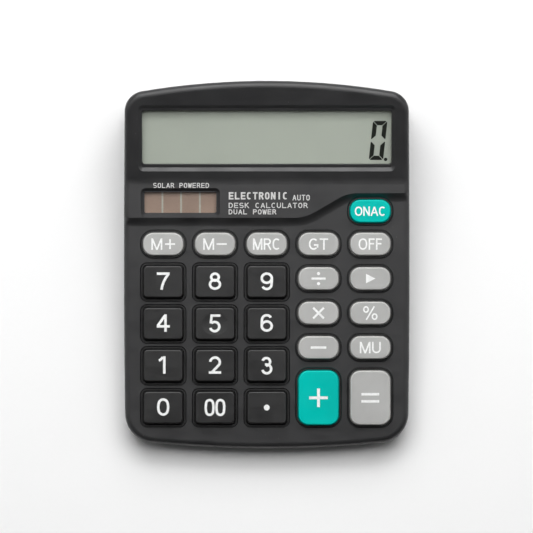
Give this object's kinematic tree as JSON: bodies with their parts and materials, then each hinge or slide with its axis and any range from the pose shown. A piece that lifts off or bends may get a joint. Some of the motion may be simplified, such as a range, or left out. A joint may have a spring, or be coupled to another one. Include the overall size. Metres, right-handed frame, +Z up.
{
  "type": "desk calculator",
  "caption": "Wedge-shaped desk calculator with a raised tilted display head, a solar cell, square number keys, pill-shaped function keys and a sliding battery door.",
  "frame": {"origin": "on the desk under the middle of the bounding box of the closed case, feet at z = 0", "axes": "+X to the user's right, +Y from the user towards the display, +Z up"},
  "size_m": [0.117, 0.151, 0.0353],
  "materials": {
    "case_black": "fine grained moulded plastic, dark grey",
    "black_keys": "smooth dark moulded plastic",
    "grey_keys": "smooth light grey moulded plastic",
    "teal_keys": "smooth blue-green moulded plastic",
    "foot_rubber": "matte black rubber",
    "screw_steel": "zinc plated",
    "silicone": "translucent grey silicone rubber",
    "carbon": "conductive carbon rubber",
    "circuit_board": "green solder mask over glass-fibre laminate",
    "black_resin": "cast black epoxy",
    "capacitor_can": "bare can with a sleeve",
    "clear_window": "clear acrylic sheet",
    "polariser": "grey-green film",
    "display_glass": "clear glass with transparent electrodes",
    "reflector": "metallised grey-green film",
    "frame_white": "white moulded plastic",
    "ribbon": "flat printed cable",
    "solar_silicon": "brown amorphous silicon behind glass",
    "red_lead": "red insulation",
    "black_lead": "black insulation",
    "cell_wrap": "printed film sleeve over steel",
    "contact_metal": "nickel plated spring steel"
  },
  "bodies": {
    "case": {"front_housing": "case_black", "rear_housing": "case_black", "rubber_feet": "foot_rubber", "case_screws": "screw_steel", "small_screws": "screw_steel", "keypad_membrane": "silicone", "carbon_pills": "carbon", "main_board": "circuit_board", "display_board": "circuit_board", "chip_cover": "black_resin", "capacitors": "capacitor_can", "resistors": "black_resin", "display_window": "clear_window", "solar_window": "clear_window", "lcd_polarizer": "polariser", "lcd_glass": "display_glass", "lcd_reflector": "reflector", "zebra_strip": "silicone", "display_frame": "frame_white", "display_ribbon": "ribbon", "solar_cell": "solar_silicon", "solar_lead_positive": "red_lead", "solar_lead_negative": "black_lead", "battery_lead_positive": "red_lead", "battery_lead_negative": "black_lead", "battery_cell": "cell_wrap", "battery_contact": "contact_metal", "battery_spring": "contact_metal"},
    "battery_door": {"battery_door": "case_black"},
    "key_7": {"key_7": "black_keys"},
    "key_8": {"key_8": "black_keys"},
    "key_9": {"key_9": "black_keys"},
    "key_4": {"key_4": "black_keys"},
    "key_5": {"key_5": "black_keys"},
    "key_6": {"key_6": "black_keys"},
    "key_1": {"key_1": "black_keys"},
    "key_2": {"key_2": "black_keys"},
    "key_3": {"key_3": "black_keys"},
    "key_0": {"key_0": "black_keys"},
    "key_double_zero": {"key_double_zero": "black_keys"},
    "key_point": {"key_point": "black_keys"},
    "key_memory_plus": {"key_memory_plus": "grey_keys"},
    "key_memory_minus": {"key_memory_minus": "grey_keys"},
    "key_memory_recall": {"key_memory_recall": "grey_keys"},
    "key_grand_total": {"key_grand_total": "grey_keys"},
    "key_off": {"key_off": "grey_keys"},
    "key_divide": {"key_divide": "grey_keys"},
    "key_shift_right": {"key_shift_right": "grey_keys"},
    "key_multiply": {"key_multiply": "grey_keys"},
    "key_percent": {"key_percent": "grey_keys"},
    "key_minus": {"key_minus": "grey_keys"},
    "key_mark_up": {"key_mark_up": "grey_keys"},
    "key_plus": {"key_plus": "teal_keys"},
    "key_equals": {"key_equals": "grey_keys"},
    "key_on_clear": {"key_on_clear": "teal_keys"}
  },
  "joints": [
    {"name": "key_7_press", "type": "slide", "parent": "case", "child": "key_7", "axis": [0, 0.0958, -0.9954], "range_m": [0, 0.0012], "stiffness_N_per_m": 500, "springref_m": -0.0004, "deforming": ["keypad_membrane", "carbon_pills"]},
    {"name": "key_8_press", "type": "slide", "parent": "case", "child": "key_8", "axis": [0, 0.0958, -0.9954], "range_m": [0, 0.0012], "stiffness_N_per_m": 500, "springref_m": -0.0004, "deforming": ["keypad_membrane", "carbon_pills"]},
    {"name": "key_9_press", "type": "slide", "parent": "case", "child": "key_9", "axis": [0, 0.0958, -0.9954], "range_m": [0, 0.0012], "stiffness_N_per_m": 500, "springref_m": -0.0004, "deforming": ["keypad_membrane", "carbon_pills"]},
    {"name": "key_4_press", "type": "slide", "parent": "case", "child": "key_4", "axis": [0, 0.0958, -0.9954], "range_m": [0, 0.0012], "stiffness_N_per_m": 500, "springref_m": -0.0004, "deforming": ["keypad_membrane", "carbon_pills"]},
    {"name": "key_5_press", "type": "slide", "parent": "case", "child": "key_5", "axis": [0, 0.0958, -0.9954], "range_m": [0, 0.0012], "stiffness_N_per_m": 500, "springref_m": -0.0004, "deforming": ["keypad_membrane", "carbon_pills"]},
    {"name": "key_6_press", "type": "slide", "parent": "case", "child": "key_6", "axis": [0, 0.0958, -0.9954], "range_m": [0, 0.0012], "stiffness_N_per_m": 500, "springref_m": -0.0004, "deforming": ["keypad_membrane", "carbon_pills"]},
    {"name": "key_1_press", "type": "slide", "parent": "case", "child": "key_1", "axis": [0, 0.0958, -0.9954], "range_m": [0, 0.0012], "stiffness_N_per_m": 500, "springref_m": -0.0004, "deforming": ["keypad_membrane", "carbon_pills"]},
    {"name": "key_2_press", "type": "slide", "parent": "case", "child": "key_2", "axis": [0, 0.0958, -0.9954], "range_m": [0, 0.0012], "stiffness_N_per_m": 500, "springref_m": -0.0004, "deforming": ["keypad_membrane", "carbon_pills"]},
    {"name": "key_3_press", "type": "slide", "parent": "case", "child": "key_3", "axis": [0, 0.0958, -0.9954], "range_m": [0, 0.0012], "stiffness_N_per_m": 500, "springref_m": -0.0004, "deforming": ["keypad_membrane", "carbon_pills"]},
    {"name": "key_0_press", "type": "slide", "parent": "case", "child": "key_0", "axis": [0, 0.0958, -0.9954], "range_m": [0, 0.0012], "stiffness_N_per_m": 500, "springref_m": -0.0004, "deforming": ["keypad_membrane", "carbon_pills"]},
    {"name": "key_double_zero_press", "type": "slide", "parent": "case", "child": "key_double_zero", "axis": [0, 0.0958, -0.9954], "range_m": [0, 0.0012], "stiffness_N_per_m": 500, "springref_m": -0.0004, "deforming": ["keypad_membrane", "carbon_pills"]},
    {"name": "key_point_press", "type": "slide", "parent": "case", "child": "key_point", "axis": [0, 0.0958, -0.9954], "range_m": [0, 0.0012], "stiffness_N_per_m": 500, "springref_m": -0.0004, "deforming": ["keypad_membrane", "carbon_pills"]},
    {"name": "key_memory_plus_press", "type": "slide", "parent": "case", "child": "key_memory_plus", "axis": [0, 0.0958, -0.9954], "range_m": [0, 0.0012], "stiffness_N_per_m": 500, "springref_m": -0.0004, "deforming": ["keypad_membrane", "carbon_pills"]},
    {"name": "key_memory_minus_press", "type": "slide", "parent": "case", "child": "key_memory_minus", "axis": [0, 0.0958, -0.9954], "range_m": [0, 0.0012], "stiffness_N_per_m": 500, "springref_m": -0.0004, "deforming": ["keypad_membrane", "carbon_pills"]},
    {"name": "key_memory_recall_press", "type": "slide", "parent": "case", "child": "key_memory_recall", "axis": [0, 0.0958, -0.9954], "range_m": [0, 0.0012], "stiffness_N_per_m": 500, "springref_m": -0.0004, "deforming": ["keypad_membrane", "carbon_pills"]},
    {"name": "key_grand_total_press", "type": "slide", "parent": "case", "child": "key_grand_total", "axis": [0, 0.0958, -0.9954], "range_m": [0, 0.0012], "stiffness_N_per_m": 500, "springref_m": -0.0004, "deforming": ["keypad_membrane", "carbon_pills"]},
    {"name": "key_off_press", "type": "slide", "parent": "case", "child": "key_off", "axis": [0, 0.0958, -0.9954], "range_m": [0, 0.0012], "stiffness_N_per_m": 500, "springref_m": -0.0004, "deforming": ["keypad_membrane", "carbon_pills"]},
    {"name": "key_divide_press", "type": "slide", "parent": "case", "child": "key_divide", "axis": [0, 0.0958, -0.9954], "range_m": [0, 0.0012], "stiffness_N_per_m": 500, "springref_m": -0.0004, "deforming": ["keypad_membrane", "carbon_pills"]},
    {"name": "key_shift_right_press", "type": "slide", "parent": "case", "child": "key_shift_right", "axis": [0, 0.0958, -0.9954], "range_m": [0, 0.0012], "stiffness_N_per_m": 500, "springref_m": -0.0004, "deforming": ["keypad_membrane", "carbon_pills"]},
    {"name": "key_multiply_press", "type": "slide", "parent": "case", "child": "key_multiply", "axis": [0, 0.0958, -0.9954], "range_m": [0, 0.0012], "stiffness_N_per_m": 500, "springref_m": -0.0004, "deforming": ["keypad_membrane", "carbon_pills"]},
    {"name": "key_percent_press", "type": "slide", "parent": "case", "child": "key_percent", "axis": [0, 0.0958, -0.9954], "range_m": [0, 0.0012], "stiffness_N_per_m": 500, "springref_m": -0.0004, "deforming": ["keypad_membrane", "carbon_pills"]},
    {"name": "key_minus_press", "type": "slide", "parent": "case", "child": "key_minus", "axis": [0, 0.0958, -0.9954], "range_m": [0, 0.0012], "stiffness_N_per_m": 500, "springref_m": -0.0004, "deforming": ["keypad_membrane", "carbon_pills"]},
    {"name": "key_mark_up_press", "type": "slide", "parent": "case", "child": "key_mark_up", "axis": [0, 0.0958, -0.9954], "range_m": [0, 0.0012], "stiffness_N_per_m": 500, "springref_m": -0.0004, "deforming": ["keypad_membrane", "carbon_pills"]},
    {"name": "key_plus_press", "type": "slide", "parent": "case", "child": "key_plus", "axis": [0, 0.0958, -0.9954], "range_m": [0, 0.0012], "stiffness_N_per_m": 500, "springref_m": -0.0004, "deforming": ["keypad_membrane", "carbon_pills"]},
    {"name": "key_equals_press", "type": "slide", "parent": "case", "child": "key_equals", "axis": [0, 0.0958, -0.9954], "range_m": [0, 0.0012], "stiffness_N_per_m": 500, "springref_m": -0.0004, "deforming": ["keypad_membrane", "carbon_pills"]},
    {"name": "key_on_clear_press", "type": "slide", "parent": "case", "child": "key_on_clear", "axis": [0, 0.0958, -0.9954], "range_m": [0, 0.0012], "stiffness_N_per_m": 500, "springref_m": -0.0004, "deforming": ["keypad_membrane", "carbon_pills"]},
    {"name": "battery_door_slide", "type": "slide", "parent": "case", "child": "battery_door", "axis": [0, 1, 0], "range_m": [0, 0.026]}
  ]
}
